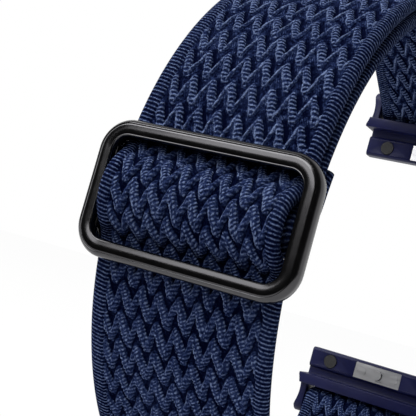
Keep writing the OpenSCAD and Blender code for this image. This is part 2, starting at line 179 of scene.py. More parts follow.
def strapLines():
    s = strap
    half = s["thick"] / 2
    layer = s["thick"] + s["gap"]
    front, upper, lower = s["frontCentre"], s["upperCentre"], s["lowerCentre"]
    pinUp, pinDown = (0.0, s["pinHeight"]), (0.0, -s["pinHeight"])
    turn = s["pinGap"] + s["thick"]
    fr, ur, lr = s["frontRadius"], s["upperRadius"], s["lowerRadius"]
    over = tangentHeading(front, upper, fr, ur)
    outer = tangentHeading(upper, pinUp, ur, turn)
    inner = tangentHeading(upper, pinUp, ur - layer - s["thick"], -turn)
    flip = lambda p: (p[0], -p[1])
    under = tangentHeading(flip(front), flip(lower), fr, lr)
    down = tangentHeading(flip(lower), flip(pinDown), lr, turn)
    end = math.degrees(s["endGap"] / fr)
    bar = s["barAngle"]

    # lower end: sewn tail, turn round the pin, single layer under the loop
    tailTop = onCircle(pinDown, turn - half, -down - 180)
    heading = (math.sin(math.radians(down)), -math.cos(math.radians(down)))
    tailEnd = (tailTop[0] - heading[0] * s["lowerTail"], tailTop[1] - heading[1] * s["lowerTail"])
    lowerLine = run(tailEnd, tailTop) + bend(pinDown, turn - half, -down - 180, -down)
    lowerLine += run(lowerLine[-1], onCircle(lower, lr - half, -down))
    lowerLine += bend(lower, lr - half, -down, -under)
    lowerLine += run(lowerLine[-1], onCircle(front, fr - half, -under))
    lowerLine += bend(front, fr - half, -under, -bar - end)

    # window: over the sewn loop between the two long bars
    sleeve = s["barSleeve"] + s["thick"]
    humpRadius = s["thick"] + s["humpFoot"]
    rise = sleeve + s["gap"] + s["thick"] - s["barDepth"]
    humpAt = fr + rise - humpRadius
    foot = fr + s["humpFoot"]
    humpAngle = footAngle(foot, humpAt, humpRadius + s["humpFoot"])
    humpTurn = footTurn(foot, humpAt, humpAngle)
    humpLine = bend(front, fr - half, -bar, -humpAngle)
    humpLine += bend(onCircle(front, foot, -humpAngle), s["humpFoot"] + half, -180 - humpAngle, -180 - humpTurn)
    humpLine += bend((front[0] - humpAt, front[1]), humpRadius - half, -humpTurn, humpTurn)
    humpLine += bend(onCircle(front, foot, humpAngle), s["humpFoot"] + half, 180 + humpTurn, 180 + humpAngle)
    humpLine += bend(front, fr - half, humpAngle, bar)

    # outer layer, over the top to the upper pin and round it
    outerLine = bend(front, fr - half, bar + end, over)
    outerLine += run(outerLine[-1], onCircle(upper, ur - half, over))
    outerLine += bend(upper, ur - half, over, outer)
    outerLine += run(outerLine[-1], onCircle(pinUp, turn - half, outer))
    outerLine += bend(pinUp, turn - half, outer, inner + 180)

    # inner layer, back down to the buckle
    barAt = fr - s["barDepth"]
    innerRadius = fr - layer
    foot = innerRadius + s["loopFoot"]
    loopAngle = footAngle(foot, barAt, sleeve + s["loopFoot"])
    innerLine = run(outerLine[-1], onCircle(upper, ur - layer - half, inner))
    innerLine += bend(upper, ur - layer - half, inner, over)
    innerLine += run(innerLine[-1], onCircle(front, innerRadius - half, over))
    innerLine += bend(front, innerRadius - half, over, loopAngle + end)

    # sewn loop round the centre bar, and its tail on the wrist side
    loopTurn = footTurn(foot, barAt, loopAngle)
    barCentre = (front[0] - barAt, front[1])
    tailRadius = innerRadius - layer
    tailAngle = footAngle(tailRadius + s["tailFoot"], barAt, s["tailFoot"] - s["barSleeve"])
    tailCentre = onCircle(front, tailRadius + s["tailFoot"], tailAngle)
    join = math.degrees(math.atan2(barCentre[1] - tailCentre[1], tailCentre[0] - barCentre[0]))
    loopLine = bend(onCircle(front, foot, loopAngle), s["loopFoot"] + half, 180 + loopAngle, 180 + loopTurn)
    loopLine += bend(barCentre, sleeve - half, loopTurn, join)
    loopLine += bend(tailCentre, s["tailFoot"] + half, 360 + join, 180 + tailAngle)
    loopLine += bend(front, tailRadius - half, tailAngle, s["tailAngle"])
    return {"lower": lowerLine, "hump": humpLine, "outer": outerLine, "inner": innerLine, "loop": loopLine}


def cleanLine(points):
    kept = [points[0]]
    for p in points[1:]:
        if math.dist(p, kept[-1]) > strap["closest"]:
            kept.append(p)
    return kept


def lineLength(points):
    return sum(math.dist(a, b) for a, b in zip(points, points[1:]))


lines = {name: cleanLine(points) for name, points in strapLines().items()}
print("strap line", round(sum(lineLength(points) for points in lines.values()), 1), "mm of webbing")


# the weave: zigzag rows of leaning bumps and links between ribbed selvedges, in mm across and along the webbing

taut = {"column": 2.4, "row": 3.7, "offset": 0.77, "left": -8.85, "right": 9.5,
        "crest": 0.07, "depth": 0.5, "ground": 0.42, "fibre": 0.24, "edgeRib": 0.46, "knot": 0.0,
        "rib": 0.53, "ribSlope": 0.14, "ribLow": 0.12, "ribHigh": 0.85, "linkRib": 0.1, "lineRise": 0.85,
        "bump": {"at": 0.62, "run": -1.45, "mid": -0.15, "half": 0.47, "reach": 2.3, "rise": 0.92, "tilt": 0.04},
        "slot": {"at": 0.62, "run": -1.45, "shift": 0.6, "mid": 0.1, "half": 0.26, "reach": 2.0, "rise": 1.0},
        "bumpLine": {"at": 0.62, "run": -1.45, "shift": -0.4, "mid": -0.45, "half": 0.17, "reach": 2.5, "rise": 0.9},
        "link": {"at": -0.545, "run": 0.9, "half": 0.3, "reach": 2.2, "rise": 0.86, "tilt": -0.06},
        "linkLine": {"at": -0.545, "run": 0.9, "shift": -0.03, "half": 0.2, "reach": 2.15, "rise": 1.0}}
slack = dict(taut, column=2.3, row=3.22, offset=0.0, ground=0.12, edgeRib=0.42, knot=0.6,
             rib=0.44, ribSlope=0.6, ribLow=0.26, ribHigh=0.76, linkRib=0.4,
             bump={"at": 0.6, "run": -1.4, "mid": -0.1, "half": 0.52, "reach": 2.1, "rise": 0.95, "tilt": 0.03},
             slot={"at": 0.6, "run": -1.4, "shift": 0.62, "half": 0.2, "reach": 1.7, "rise": 0.6},
             bumpLine={"at": 0.6, "run": -1.4, "shift": -0.42, "mid": -0.3, "half": 0.14, "reach": 2.2, "rise": 0.95},
             link={"at": -0.56, "run": 1.0, "half": 0.44, "reach": 2.05, "rise": 0.9, "tilt": -0.03},
             linkLine={"at": -0.56, "run": 1.0, "shift": -0.3, "half": 0.16, "reach": 1.8, "rise": 0.7})
# the window's ribs are lighter and their troughs a little darker than the slack webbing's: painted highlight and shade
# on the hump
window = dict(slack, column=2.4, row=2.9, offset=0.6, left=-9.1, right=9.6, edgeRib=0.38, ribLow=0.24, ribHigh=0.88)
weaves = {"tautWebbing": taut, "slackWebbing": slack, "windowWebbing": window}

selvedge = {"lean": 8.0, "rise": 0.84, "groove": 0.45, "fade": 0.16, "seam": 0.1, "seamWidth": 0.25}
stray = {"scale": 0.55, "detail": 1.0, "across": 0.34, "along": 0.3, "apart": 37.0}


def strayed(x, s):   # the yarns wander a little from the rule
    moved = []
    for value, reach, layer in ((x, stray["across"], 0.0), (s, stray["along"], stray["apart"])):
        spot = addNode(x.tree, "ShaderNodeCombineXYZ", {"X": x, "Y": s, "Z": layer})
        noise = addNode(x.tree, "ShaderNodeTexNoise",
                        {"Scale": stray["scale"], "Detail": stray["detail"], "Vector": spot.outputs[0]})
        moved.append(value + (Term(x.tree, noise.outputs[0]) - 0.5) * reach * 2.0)
    return moved


def legHeight(x, s, plan, kind):   # 1 on the middle of the nearest strand of one kind, 0 beside it
    leg = plan[kind]
    slope = leg["run"] / plan["row"]
    lean = math.atan(slope)
    ds = wrapped(s, plan["row"])
    heights = []
    for d in (ds, ds - sign(ds) * plan["row"]):
        dx = wrapped(x - (leg["at"] + plan["offset"]) - d * slope, plan["column"])
        along = d / math.cos(lean) + dx * math.sin(lean)
        across = dx * math.cos(lean)
        inside = 1.0 - power(size((across - leg.get("shift", 0.0)) / leg["half"]), 2.0)
        inside = inside - power(size((along - leg.get("mid", 0.0)) / leg["reach"]), 4.0)
        heights.append(root(most(inside, 0.0)) * (along * leg.get("tilt", 0.0) + leg["rise"]))
    return most(heights[0], heights[1])


def selvedgeShare(x, plan):
    fade = selvedge["fade"]
    return most(step(x, plan["right"], plan["right"] + fade), step(-x, -plan["left"], fade - plan["left"]))


def weaveHeight(edgeX, edgeS, plan):   # 0 in the deepest groove, 1 on a crest
    x, s = strayed(edgeX, edgeS)
    ground = plan["ground"] * (1.0 - legHeight(x, s, plan, "slot"))
    field = most(legHeight(x, s, plan, "bump"), most(legHeight(x, s, plan, "link"), ground))
    field = most(field, legHeight(x, s, plan, "bumpLine") * plan["lineRise"])
    rim = selvedgeShare(edgeX, plan)
    seam = selvedge["seam"]
    past = least(size(edgeX - (plan["right"] + seam)), size(edgeX - (plan["left"] - seam)))
    groove = 1.0 - least(past / selvedge["seamWidth"], 1.0)
    return field * (1.0 - rim) + rim * selvedge["rise"] - groove * selvedge["groove"] * rim


# geometry trees, and what they have in common

def openTree(name, inputs):   # inputs are (label, kind, value)
    tree = bpy.data.node_groups.new(name, "GeometryNodeTree")
    tree.interface.new_socket("Geometry", in_out="INPUT", socket_type="NodeSocketGeometry")
    for label, kind, value in inputs + [("Material", "Material", None)]:
        socket = tree.interface.new_socket(label, in_out="INPUT", socket_type="NodeSocket" + kind)
        if value is not None:
            socket.default_value = value
    tree.interface.new_socket("Geometry", in_out="OUTPUT", socket_type="NodeSocketGeometry")
    given = addNode(tree, "NodeGroupInput").outputs
    return tree, given, lambda label: Term(tree, given[label])


def closeTree(tree, given, result):
    real = addNode(tree, "GeometryNodeRealizeInstances", {0: result})
    finish = addNode(tree, "GeometryNodeSetMaterial", {"Geometry": real.outputs[0], "Material": given["Material"]})
    addNode(tree, "NodeGroupOutput", {0: finish.outputs[0]})
    return tree


def grown(piece, tree, values):   # the tree's result becomes the piece's own plain mesh
    modifier = piece.modifiers.new("shape", "NODES")
    modifier.node_group = tree
    for item in tree.interface.items_tree:
        if item.item_type == "SOCKET" and item.in_out == "INPUT" and item.name in values:
            modifier[item.identifier] = values[item.name]
    bpy.context.view_layer.update()
    mesh = bpy.data.meshes.new_from_object(piece.evaluated_get(bpy.context.evaluated_depsgraph_get()))
    piece.modifiers.remove(modifier)
    piece.data = mesh
    mesh.name = piece.name
    return piece


def newPiece(name, verts, edges=(), faces=()):
    mesh = bpy.data.meshes.new(name)
    mesh.from_pydata(verts, edges, faces)
    piece = bpy.data.objects.new(name, mesh)
    scene.collection.objects.link(piece)
    return piece


def reworked(piece, work=None, source=None):   # mesh work, on another piece's shape if one is given, then faces out
    mesh = bmesh.new()
    mesh.from_mesh((source or piece).data)
    if work:
        work(mesh)
    bmesh.ops.recalc_face_normals(mesh, faces=mesh.faces)
    mesh.to_mesh(piece.data)
    mesh.free()
    return piece


def softened(piece, finish, sharp):   # smooth, but for edges sharper than so many degrees
    piece.data.materials.append(finishes[finish])
    piece.data.shade_smooth()
    piece.data.set_sharp_from_angle(angle=math.radians(sharp))
    return piece


turnFill = {"whole": 2.0, "gone": 5.0, "from": -0.3, "to": 0.5, "flatten": 0.93, "lift": 0.13}   # round a pin
necking = {"from": 2.5, "to": 6.0}   # in from the ends


def webbingTree(name, plan):
    tree, given, value = openTree(name, [
        ("Length", "Float", 50.0), ("Start", "Float", 0.0), ("Width", "Float", 22.0), ("Thickness", "Float", 1.9),
        ("Steps along", "Int", 200), ("Steps round", "Int", 120), ("Outer share", "Float", 0.6),
        ("Crest", "Float", plan["crest"]), ("Depth", "Float", plan["depth"]),
        ("Neck", "Float", 0.0), ("Neck shift", "Float", 0.0), ("Turn place", "Float", -20.0)])
    path = addNode(tree, "GeometryNodeMeshToCurve", {"Mesh": given["Geometry"]})
    grid = addNode(tree, "GeometryNodeMeshGrid", {"Size X": 1.0, "Size Y": 2.0, "Vertices X": given["Steps along"],
                                                  "Vertices Y": given["Steps round"]})
    along, turn, _ = partsOf(tree, addNode(tree, "GeometryNodeInputPosition").outputs[0])
    s = (along + 0.5) * value("Length")

    # walk round the section, -1 to 1 from the middle of the outer face: flat face, round selvedge, flat face
    r = value("Thickness") / 2.0
    flat = value("Width") / 2.0 - r
    quarter = flat + r * (math.pi / 2)
    t = size(turn)
    share = value("Outer share")
    walk = least(t / share, 1.0) * quarter + most((t - share) / (1.0 - share), 0.0) * quarter
    past = limited((walk - flat) / r, 0.0, math.pi)
    side = sign(turn)
    x = side * (least(walk, flat) + r * sine(past) - most(walk - flat - r * math.pi, 0.0))
    inside = step(least(s, value("Length") - s), necking["from"], necking["to"])
    x = x * (1.0 - value("Neck") / value("Width") * inside) + value("Neck shift") * inside
    patternX = side * least(walk, quarter * 2.0 - walk)
    patternS = s + value("Start")

    # the weave's relief, shallower and fuller on the outer face where the webbing turns round a pin
    full = 1.0 - step(size(s - value("Turn place")), turnFill["whole"], turnFill["gone"])
    full = full * step(cosine(past), turnFill["from"], turnFill["to"])
    depth = value("Depth") * (1.0 - full * turnFill["flatten"])
    rise = weaveHeight(patternX, patternS, plan)
    lift = rise * (value("Crest") + depth) - depth + full * turnFill["lift"]

    sample = addNode(tree, "GeometryNodeSampleCurve", {"Curves": path.outputs["Curve"], "Length": s * mm},
                     mode="LENGTH")
    outward = addNode(tree, "ShaderNodeVectorMath", {0: (1, 0, 0), 1: sample.outputs["Tangent"]},
                      operation="CROSS_PRODUCT")
    away = addNode(tree, "ShaderNodeVectorMath",
                   {0: outward.outputs[0], "Scale": (r * cosine(past) + cosine(past) * lift) * mm}, operation="SCALE")
    across = addNode(tree, "ShaderNodeCombineXYZ", {"X": (x + side * sine(past) * lift) * mm})
    aside = addNode(tree, "ShaderNodeVectorMath", {0: across.outputs[0], 1: away.outputs[0]})
    place = addNode(tree, "ShaderNodeVectorMath", {0: sample.outputs["Position"], 1: aside.outputs[0]})

    weaveUv = addNode(tree, "ShaderNodeCombineXYZ", {"X": patternX, "Y": patternS})
    store = addNode(tree, "GeometryNodeStoreNamedAttribute",
                    {"Name": "weave", "Geometry": grid.outputs["Mesh"], "Value": weaveUv.outputs[0]},
                    data_type="FLOAT2", domain="CORNER")
    shape = addNode(tree, "GeometryNodeSetPosition", {"Geometry": store.outputs[0], "Position": place.outputs[0]})
    merge = addNode(tree, "GeometryNodeMergeByDistance", {"Distance": 0.02 * mm, "Geometry": shape.outputs[0]})
    smooth = addNode(tree, "GeometryNodeSetShadeSmooth", {0: merge.outputs[0]})
    return closeTree(tree, given, smooth.outputs[0])


# finishes

def newMaterial(name, colour, roughness, metallic=0.0):
    material = bpy.data.materials.new(name)
    material.use_nodes = True
    tree = material.node_tree
    shader = tree.nodes["Principled BSDF"]
    shader.inputs["Base Color"].default_value = (*colour, 1)
    shader.inputs["Roughness"].default_value = roughness
    shader.inputs["Metallic"].default_value = metallic
    return material, tree, shader


def noiseIn(tree, scale, detail=3.0, stretch=(1, 1, 1)):
    coords = addNode(tree, "ShaderNodeTexCoord")
    mapping = addNode(tree, "ShaderNodeMapping", {"Scale": stretch, "Vector": coords.outputs["Object"]})
    noise = addNode(tree, "ShaderNodeTexNoise", {"Scale": scale, "Detail": detail, "Vector": mapping.outputs[0]})
    return Term(tree, noise.outputs["Fac"])


def mixedColour(tree, factor, dark, light):
    inputs = {"Factor": factor}
    for label, colour in (("A", dark), ("B", light)):
        inputs[label] = (*colour, 1) if isinstance(colour, tuple) else colour
    return addNode(tree, "ShaderNodeMix", inputs, data_type="RGBA").outputs["Result"]


def bumped(tree, shader, height, distance, strength=1.0):
    bump = addNode(tree, "ShaderNodeBump", {"Distance": distance * mm, "Strength": strength, "Height": height})
    tree.links.new(bump.outputs[0], shader.inputs["Normal"])


# groove is the yarn's colour in deep shade, painted shade; body is the yarn's own colour; crest is lighter than the
# yarn, partly its own lighter colour and partly painted highlight standing in for its sheen
cloth = {"groove": (0.0003, 0.0012, 0.011), "body": (0.015, 0.026, 0.082), "crest": (0.132, 0.176, 0.312),
         "relief": 0.16, "roughness": 0.8, "sheen": 0.006, "sheenRoughness": 0.35, "sheenTint": (0.3, 0.42, 1, 1),
         "specular": 0.01, "fuzz": 4300.0, "strands": 1500.0, "drift": 160.0, "wobble": 0.3, "knot": 0.52}
# how light each kind of yarn is, 0 to 1, as (least, added) or one tone; shade is painted shade in the grooves, shine
# and line paint a highlight on the bright lines
tones = {"ground": (0.04, 0.62), "fibre": (0.3, 0.7), "link": 0.34, "line": 0.84, "shine": (0.5, 0.7),
         "edge": (0.02, 0.74), "shade": (0.4, 0.6), "fuzz": (0.4, 2.5), "drift": 0.25}


def between(kind, share):
    return tones[kind][0] + tones[kind][1] * share


def clothMaterial(name, plan):
    material, tree, shader = newMaterial(name, cloth["body"], cloth["roughness"])
    uv = addNode(tree, "ShaderNodeUVMap", uv_map="weave")
    edgeX, edgeS, _ = partsOf(tree, uv.outputs[0])
    x, s = strayed(edgeX, edgeS)
    fuzz = noiseIn(tree, cloth["fuzz"])
    strands = noiseIn(tree, cloth["strands"])
    drift = noiseIn(tree, cloth["drift"], 2.0)
    rim = selvedgeShare(edgeX, plan)
    wobble = (strands - 0.5) * cloth["wobble"]

    onBump, onLink, bumpLine, linkLine, slot = (legHeight(x, s, plan, kind)
                                                for kind in ("bump", "link", "bumpLine", "linkLine", "slot"))
    isBump = step(onBump - onLink, -0.02, 0.08)
    knots = ripple(x + s * 0.35 + wobble, cloth["knot"])
    ribs = ripple(s - plan["ribSlope"] * x + wobble, plan["rib"])
    ribs = ribs * (1.0 - plan["knot"] + plan["knot"] * 1.5 * knots)
    linkRibs = ripple(s * 0.95 - x * 0.3 + wobble, plan["rib"])
    fibres = ripple(x + s * 0.39 + wobble * 0.6, plan["fibre"], sine)

    # ground fibres, then links, then ribbed bumps with a smooth yarn on their left, painted bright as a highlight of
    # the light from the left
    fibreTone = step(strands, 0.4, 0.7) * between("fibre", fibres)
    # the ground's tone follows how high the ground lies, and it goes dark in the slot beside each bump: painted shade
    # and painted shadow
    tone = between("ground", fibreTone) * (plan["ground"] / taut["ground"]) * (1.0 - slot)
    linkTone = tones["link"] + plan["linkRib"] * (linkRibs - 0.5)
    tone = tone + (linkTone - tone) * step(onLink, 0.05, 0.35)
    bumpTone = plan["ribLow"] + (plan["ribHigh"] - plan["ribLow"]) * power(ribs, 1.4)
    tone = tone + (bumpTone - tone) * isBump * step(onBump, 0.05, 0.5)
    shine = between("shine", step(strands, 0.3, 0.65)) * tones["line"]
    tone = most(tone, most(bumpLine * isBump, linkLine * (1.0 - isBump * 0.8)) * shine)

    # ribbed selvedges, shade in the grooves, loose fibres over all
    lean = math.radians(selvedge["lean"])
    edgeRibs = ripple(edgeS * math.cos(lean) + edgeX * math.sin(lean) + wobble * 0.6, plan["edgeRib"])
    tone = tone * (1.0 - rim) + rim * between("edge", power(edgeRibs, 2.2))
    tone = tone * between("shade", step(weaveHeight(edgeX, edgeS, plan), 0.0, 0.6))
    tone = limited(tone + (fuzz - 0.5) * between("fuzz", tone) + (drift - 0.5) * tones["drift"], 0.0, 1.0)

    # low tones take the groove colour, painted shade; high tones take the crest colour, partly painted highlight
    low = mixedColour(tree, limited(tone * 2.5, 0.0, 1.0), cloth["groove"], cloth["body"])
    colour = mixedColour(tree, step(tone, 0.3, 1.05), low, cloth["crest"])
    tree.links.new(colour, shader.inputs["Base Color"])
    bumped(tree, shader, tone + fuzz * 0.2, cloth["relief"])
    shader.inputs["Sheen Weight"].default_value = cloth["sheen"]
    shader.inputs["Sheen Roughness"].default_value = cloth["sheenRoughness"]
    shader.inputs["Sheen Tint"].default_value = cloth["sheenTint"]
    shader.inputs["Specular IOR Level"].default_value = cloth["specular"]
    return material


thread = {"dark": (0.006, 0.008, 0.04), "light": (0.03, 0.042, 0.14), "roughness": 0.6, "twist": 0.26, "relief": 0.05}


def threadMaterial():
    material, tree, shader = newMaterial("navyThread", thread["light"], thread["roughness"])
    x, y, z = partsOf(tree, addNode(tree, "ShaderNodeTexCoord").outputs["Object"])
    twist = ripple(x + (y + z) * 0.7, thread["twist"] * mm, sine)
    fuzz = noiseIn(tree, 5000.0)
    blend = limited(twist * 0.7 + fuzz * 0.3, 0.0, 1.0)
    tree.links.new(mixedColour(tree, blend, thread["dark"], thread["light"]), shader.inputs["Base Color"])
    bumped(tree, shader, twist + fuzz * 0.4, thread["relief"])
    return material


# cloud is a soft variation and grain a fine one: (scale, detail, stretch); rough is (base, by cloud, by grain)
looks = {"gunmetal": {"dark": (0.06, 0.06, 0.065), "light": (0.085, 0.083, 0.086), "tint": "cloud", "metallic": 1.0,
                      "cloud": (420.0, 4.0), "grain": (900.0, 2.0, (1, 14, 14)), "rough": (0.10, 0.12, 0.06),
                      "relief": (0.8, 0.1), "depth": 0.02, "strength": 0.5, "specular": 0.5},
         "navyMoulding": {"dark": (0.003, 0.0045, 0.034), "light": (0.006, 0.0075, 0.052), "tint": "cloud",
                          "metallic": 0.0, "cloud": (300.0, 4.0), "grain": (9000.0, 2.0), "rough": (0.36, 0.14, 0.0),
                          "relief": (0.5, 1.0), "depth": 0.02, "strength": 0.5, "specular": 0.18},
         "brushedSteel": {"dark": (0.48, 0.48, 0.5), "light": (0.72, 0.72, 0.73), "tint": "grain", "metallic": 1.0,
                          "cloud": (500.0, 3.0), "grain": (2500.0, 3.0, (0.06, 1, 1)), "rough": (0.2, 0.08, 0.14),
                          "relief": (0.0, 1.0), "depth": 0.01, "strength": 0.6, "specular": 0.5},
         "rubber": {"dark": (0.008, 0.008, 0.009), "light": (0.02, 0.02, 0.021), "tint": "cloud", "metallic": 0.0,
                    "cloud": (700.0, 2.0), "grain": (6000.0, 3.0), "rough": (0.62, 0.0, 0.25),
                    "relief": (0.0, 1.0), "depth": 0.03, "strength": 1.0, "specular": 0.5}}


def plainMaterial(name):
    look = looks[name]
    material, tree, shader = newMaterial(name, look["dark"], look["rough"][0], look["metallic"])
    grains = {"cloud": noiseIn(tree, *look["cloud"]), "grain": noiseIn(tree, *look["grain"])}
    base, byCloud, byGrain = look["rough"]
    colour = mixedColour(tree, grains[look["tint"]], look["dark"], look["light"])
    rough = grains["cloud"] * byCloud + grains["grain"] * byGrain + base
    relief = grains["cloud"] * look["relief"][0] + grains["grain"] * look["relief"][1]
    tree.links.new(colour, shader.inputs["Base Color"])
    tree.links.new(rough.socket, shader.inputs["Roughness"])
    bumped(tree, shader, relief, look["depth"], look["strength"])
    shader.inputs["Specular IOR Level"].default_value = look["specular"]
    return material


finishes = {name: clothMaterial(name, plan) for name, plan in weaves.items()}
finishes.update(thread=threadMaterial(), buckle=plainMaterial("gunmetal"), connector=plainMaterial("navyMoulding"),
                steel=plainMaterial("brushedSteel"), rubber=plainMaterial("rubber"))
print("finishes made")


# webbing pieces: cell is the mesh size along, peak where a row of the weave peaks, turn where the pin is

webbing = {"lower": {"cell": 0.225, "round": 190, "share": 0.66, "finish": "slackWebbing", "peak": -2.82, "turn": 13.8},
           "hump": {"cell": 0.13, "round": 220, "share": 0.7, "finish": "windowWebbing", "peak": 0.98,
                    "neck": 0.5, "shift": -0.25},
           "outer": {"cell": 0.2, "round": 190, "share": 0.72, "finish": "tautWebbing", "peak": 4.05, "turnBack": 2.8},
           "inner": {"cell": 0.24, "round": 180, "share": 0.5, "finish": "tautWebbing", "peak": 0.0, "turn": -3.0},
           "loop": {"cell": 0.22, "round": 150, "share": 0.5, "finish": "tautWebbing", "peak": 0.0}}
noTurn = -20.0


def closeEnds(mesh):
    bmesh.ops.holes_fill(mesh, edges=[e for e in mesh.edges if e.is_boundary], sides=0)


trees = {name: webbingTree(name, plan) for name, plan in weaves.items()}
made = {}
for name, cut in webbing.items():
    points = lines[name]
    piece = newPiece(name + "Webbing", [(0, y * mm, z * mm) for y, z in points],
                     [(k, k + 1) for k in range(len(points) - 1)])
    plan = weaves[cut["finish"]]
    long = lineLength(points)
    zero = {"lower": long, "hump": long / 2}.get(name, 0.0)   # where a row's peak is counted from
    grown(piece, trees[cut["finish"]], {
        "Length": long, "Start": plan["row"] / 2 - cut["peak"] - zero, "Width": strap["width"],
        "Thickness": strap["thick"], "Steps along": int(long / cut["cell"]), "Steps round": cut["round"] + 1,
        "Outer share": cut["share"], "Crest": plan["crest"], "Depth": plan["depth"],
        "Neck": cut.get("neck", 0.0), "Neck shift": cut.get("shift", 0.0),
        "Turn place": long - cut["turnBack"] if "turnBack" in cut else cut.get("turn", noTurn),
        "Material": finishes[cut["finish"]]})
    made[name] = reworked(piece, closeEnds)
    print("webbing", name, round(long, 1), "mm,", len(piece.data.polygons) * 2, "triangles")

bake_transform(made["outer"])
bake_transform(made["inner"])
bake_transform(made["lower"])
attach(made["hump"], "buckle")
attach(made["loop"], "buckle")
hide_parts("outer_run", "outer_run_front", "upper_turn")
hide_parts("inner_run", "inner_run_front")
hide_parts("lower_run", "lower_run_front", "lower_turn")
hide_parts("window_hump")
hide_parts("bar_loop")


# the buckle's frame: a slightly crowned face, a fine groove and a bevelled rim round the outside, two cheeks behind

buckle = {"width": 26.2, "height": 15.0, "bar": 1.9, "corner": 3.6, "cornerSteps": 14, "sharp": 32,
          "faceFrom": -0.72, "faceTo": 0.36, "faceRound": 1.6, "faceSteps": 8,
          "groove": ((0.39, 0.83), (0.43, 0.81), (0.48, 0.83)),
          "rim": ((0.5, 0.88), (0.53, 0.86), (0.62, 0.77), (0.75, 0.62), (0.86, 0.45), (0.93, 0.28), (0.95, 0.1)),
          "outerBack": ((0.95, -0.5), (0.88, -0.75), (0.75, -0.88), (0.5, -0.95)),
          "innerBack": ((-0.5, -0.95), (-0.75, -0.88), (-0.88, -0.75), (-0.95, -0.5)),
          "innerEdge": ((-0.95, 0.45), (-0.93, 0.66), (-0.86, 0.81), (-0.77, 0.88)), "drop": 4.5}
cheek = {"inner": 11.1, "thick": 0.65, "height": 13.0, "depth": 1.2, "eye": 1.15, "hole": 0.83,
         "eyeY": -72.85, "edge": 0.08, "steps": 96, "eyeStep": 6}


def barSection():   # (outward, forward), once round from the inner edge of the face
    b = buckle
    start, long, n = b["faceFrom"], b["faceTo"] - b["faceFrom"], b["faceSteps"]
    middle = start + long / 2
    points = []
    for k in range(n + 1):
        u = start + long * k / n
        points.append((u, b["bar"] / 2 - (u - middle) ** 2 / (2 * b["faceRound"])))
    for stretch in ("groove", "rim", "outerBack", "innerBack", "innerEdge"):
        points += b[stretch]
    return points


def ringFaces(first, around, count):   # quads between rings of verts, and from the last ring to the first
    return [tuple(first + i for i in (r * around + k, r * around + (k + 1) % around,
                                      (r + 1) % count * around + (k + 1) % around, (r + 1) % count * around + k))
            for r in range(count) for k in range(around)]


def buckleFrame():
    b = buckle
    section = barSection()
    bow = b["corner"] - b["bar"] / 2
    flatWide, flatHigh = b["width"] / 2 - b["corner"], b["height"] / 2 - b["corner"]
    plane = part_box("buckle_frame")[0][1] / mm + b["bar"] / 2   # the frame's middle, back from its front face
    rings = []
    for quarter in range(4):
        x = flatWide if quarter in (0, 3) else -flatWide
        z = flatHigh if quarter < 2 else -flatHigh
        for k in range(b["cornerSteps"] + 1):
            a = math.radians(90 * (quarter + k / b["cornerSteps"]))
            rings.append((x, z, math.cos(a), math.sin(a)))
    verts = [((x + (bow + u) * cx) * mm, (plane - v) * mm, (z + (bow + u) * cz - b["drop"]) * mm)
             for x, z, cx, cz in rings for u, v in section]
    faces = ringFaces(0, len(section), len(rings))
    for side in (-1, 1):
        addCheek(verts, faces, side, plane)
    piece = newPiece("buckleFrame", verts, faces=faces)
    return softened(reworked(piece), "buckle", b["sharp"])


def addCheek(verts, faces, side, plane):   # a plate from the frame back round the centre bar
    c = cheek
    top, back = c["height"] / 2, plane + c["depth"]
    eye = [(c["eyeY"] + c["eye"] * math.cos(math.radians(a)), c["eye"] * math.sin(math.radians(a)))
           for a in range(0, 360, c["eyeStep"])]
    hull = convex([(plane, top), (plane, -top), (back, -top), (back, top)] + eye)
    outline = []
    for k in range(c["steps"]):
        a = 2 * math.pi * k / c["steps"]
        outline.append((math.cos(a), math.sin(a), reachTo(hull, (c["eyeY"], 0.0), a)))
    x0, x1, e = c["inner"], c["inner"] + c["thick"], c["edge"]
    rings = [(x0, None), (x0, -e), (x0 + e, 0.0), (x1 - e, 0.0), (x1, -e), (x1, None)]   # None is the hole's wall
    faces += ringFaces(len(verts), c["steps"], len(rings))
    for x, inset in rings:
        for cy, cz, far in outline:
            d = c["hole"] if inset is None else far + inset
            verts.append((side * x * mm, (c["eyeY"] + d * cy) * mm, (d * cz - buckle["drop"]) * mm))


def convex(points):
    points = sorted(set(points))

    def chain(row):
        kept = []
        for p in row:
            while len(kept) > 1 and ((kept[-1][0] - kept[-2][0]) * (p[1] - kept[-2][1])
                                     - (kept[-1][1] - kept[-2][1]) * (p[0] - kept[-2][0])) <= 0:
                kept.pop()
            kept.append(p)
        return kept[:-1]
    return chain(points) + chain(points[::-1])


def reachTo(hull, start, angle):   # how far the hull's edge lies in one direction
    dx, dy = math.cos(angle), math.sin(angle)
    tiny = 1e-6
    best = 0.0
    for a, c in zip(hull, hull[1:] + hull[:1]):
        ex, ey = c[0] - a[0], c[1] - a[1]
        det = dx * -ey + ex * dy
        if abs(det) < tiny * tiny:
            continue
        px, py = a[0] - start[0], a[1] - start[1]
        along = (px * -ey + ex * py) / det
        part = (dx * py - dy * px) / det
        if along > 0 and -tiny <= part <= 1 + tiny:
            best = max(best, along)
    return best


frameRing = buckleFrame()
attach(frameRing, "buckle")
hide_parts("buckle_frame")
print("buckle frame,", len(frameRing.data.polygons) * 2, "triangles")


# stitches: rows of short threads laid across the webbing, each end sunk into it

sewing = {"count": 8, "pitch": 2.1, "length": 1.5, "thread": 0.2, "sink": 0.3, "lie": 0.25, "bow": 0.1, "seed": 4,
          "smallest": (0.93, 0.95, 0.95), "largest": (1.06, 1.1, 1.1), "steps": 9, "sides": 7}


